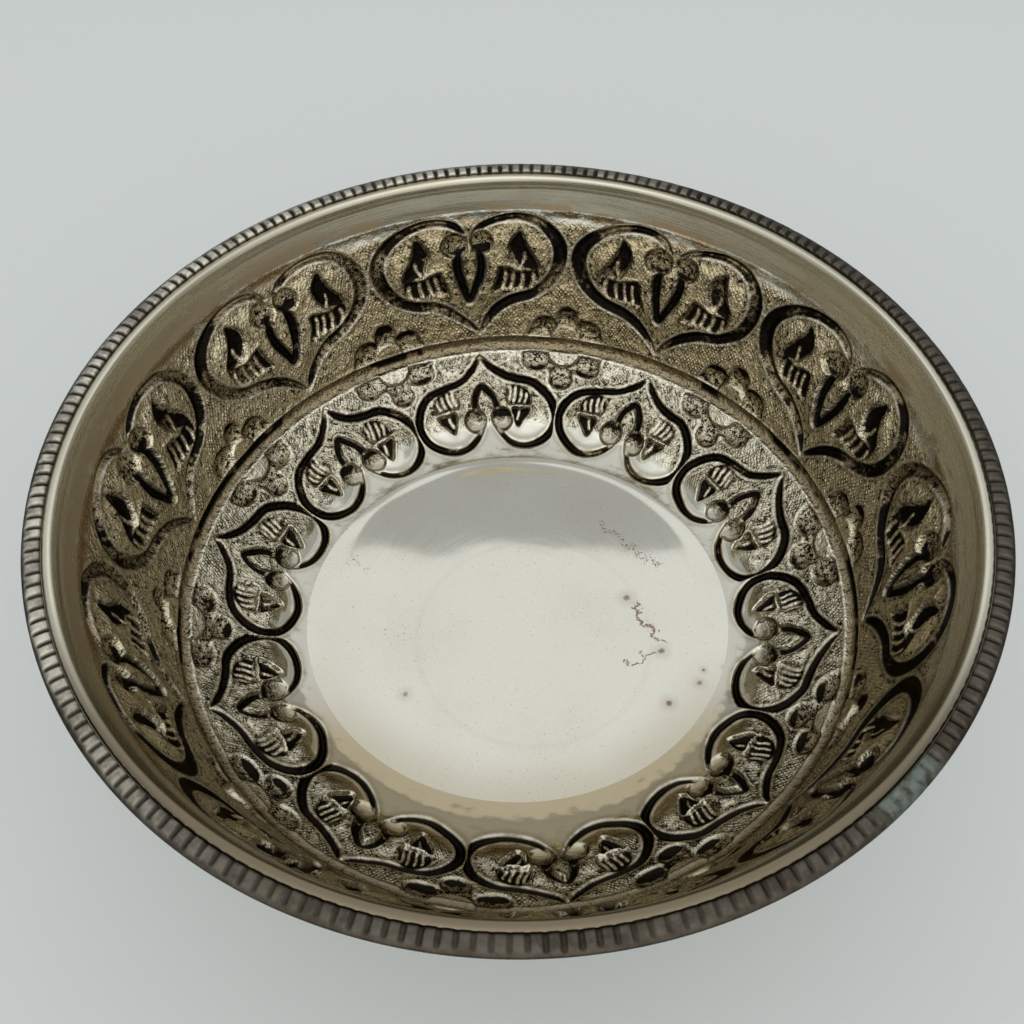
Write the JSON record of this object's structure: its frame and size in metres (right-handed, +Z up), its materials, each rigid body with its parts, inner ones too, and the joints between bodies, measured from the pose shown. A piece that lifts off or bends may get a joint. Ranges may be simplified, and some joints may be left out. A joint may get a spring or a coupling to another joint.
{
  "type": "pedestal bowl",
  "caption": "Round chased metal bowl with a milled rim, on a low hollow pedestal with a knop and a flared foot; holds fruit or other dry things on a table.",
  "frame": {"origin": "centre of the ring it stands on, in the plane of the table", "axes": "+Z up along the bowl's axis; the picture looks along +Y and down, with +X to its right"},
  "size_m": [0.254, 0.254, 0.1259],
  "materials": {
    "chased_plate": "silver-plated brass sheet, chased, with dark patina in the grooves",
    "milled_plate": "silver-plated milled strip, dark brown tarnish with worn bright ribs",
    "polished_plate": "silver-plated brass, bright, with fine wiping scratches"
  },
  "bodies": {
    "root": {"bowl_shell": "chased_plate", "rim_border_strip": "milled_plate", "pedestal_collar": "polished_plate", "pedestal_stem": "polished_plate", "stem_knop": "polished_plate", "pedestal_foot": "polished_plate", "foot_border_strip": "milled_plate", "foot_base_wire": "polished_plate"}
  },
  "joints": []
}
